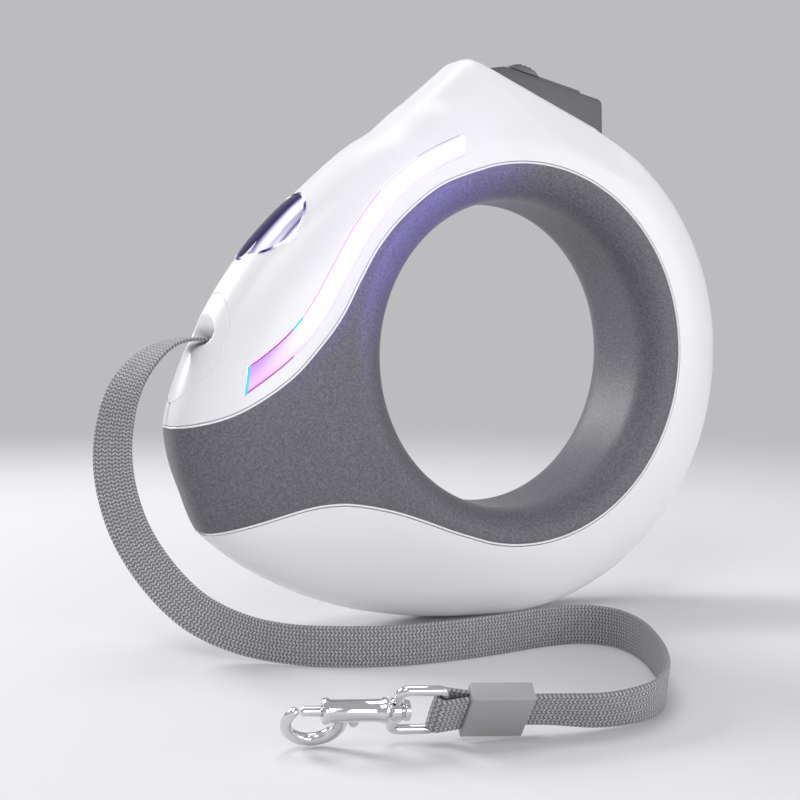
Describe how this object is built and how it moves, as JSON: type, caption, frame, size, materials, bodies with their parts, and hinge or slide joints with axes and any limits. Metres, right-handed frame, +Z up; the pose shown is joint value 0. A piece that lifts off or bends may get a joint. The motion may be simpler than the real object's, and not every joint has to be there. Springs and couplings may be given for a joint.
{
  "type": "retractable leash",
  "caption": "Ring-shaped retractable tape leash with a grip through the ring, thumb brake on top, lights and a swivel bolt snap.",
  "frame": {"origin": "middle of the body's footprint, on the surface that the ring stands on", "axes": "+Z up; -X the way the nose and the tape point; front is the -Y side"},
  "size_m": [0.1921, 0.1292, 0.1559],
  "materials": {
    "shell": "moulded, glossy",
    "grip": "soft-touch, satin",
    "light_guide": "translucent, lit from behind",
    "led": "glossy",
    "lens": "clear, polished",
    "button": "satin",
    "slider": "satin",
    "inner_plastic": "moulded",
    "steel": "drawn",
    "chrome": "polished",
    "tape": "woven",
    "sleeve": "moulded",
    "battery_wrap": "wrapped",
    "board": "coated"
  },
  "bodies": {
    "housing": {"shell_front": "shell", "shell_back": "shell", "grip_front": "grip", "grip_back": "grip", "light_guide_front": "light_guide", "light_guide_back": "light_guide", "led_strip_front": "led", "led_strip_back": "led", "lamp_lens": "lens", "lamp_reflector": "chrome", "lamp_led": "led", "port_plate": "shell", "guide_pins": "steel", "button_spring": "steel", "lever_pin": "steel", "recoil_spring": "steel", "reel_axle": "steel", "battery": "battery_wrap", "circuit_board": "board", "housing_screws": "steel", "tape": "tape", "tape_sleeve": "sleeve", "tape_loop": "tape"},
    "button": {"brake_button": "button"},
    "slider": {"lock_slider": "slider"},
    "lever": {"brake_lever": "inner_plastic"},
    "reel": {"reel_spool": "inner_plastic", "reel_winding": "tape", "spring_cup": "inner_plastic"},
    "switch": {"light_switch": "shell"},
    "bail": {"hook_bail": "chrome"},
    "hook": {"hook_body": "chrome", "gate_spring": "steel"},
    "gate": {"hook_gate": "chrome"}
  },
  "joints": [
    {"name": "brake_press", "type": "slide", "parent": "housing", "child": "button", "axis": [-0.3665, 0, -0.9304], "range_m": [0, 0.003], "stiffness_N_per_m": 700, "deforming": ["button_spring"]},
    {"name": "lock_slide", "type": "slide", "parent": "button", "child": "slider", "axis": [0.9798, 0, -0.2002], "range_m": [0, 0.004]},
    {"name": "lever_rock", "type": "hinge", "parent": "housing", "child": "lever", "pos_m": [-0.02142, 0, 0.11665], "axis": [0, 1, 0], "range_deg": [0, 3.95]},
    {"name": "reel_spin", "type": "hinge", "parent": "housing", "child": "reel", "pos_m": [-0.05538, 0, 0.053], "axis": [0, 1, 0], "continuous": true},
    {"name": "light_press", "type": "slide", "parent": "housing", "child": "switch", "axis": [0, -1, 0], "range_m": [0, 0.0008], "stiffness_N_per_m": 1500},
    {"name": "bail_pivot", "type": "hinge", "parent": "housing", "child": "bail", "pos_m": [-0.06455, -0.09995, 0.00735], "axis": [-0.1129, -0.6071, 0.7865], "range_deg": [-20, 20]},
    {"name": "swivel_spin", "type": "hinge", "parent": "bail", "child": "hook", "pos_m": [-0.07323, -0.09762, 0.0079], "axis": [-0.9641, 0.2583, 0.061], "continuous": true},
    {"name": "gate_slide", "type": "slide", "parent": "hook", "child": "gate", "axis": [0.9641, -0.2583, -0.061], "range_m": [0, 0.003], "stiffness_N_per_m": 250, "deforming": ["gate_spring"]}
  ],
  "couplings": [
    {"joint": "lever_rock", "follows": "brake_press", "rad_per_m": 23}
  ]
}
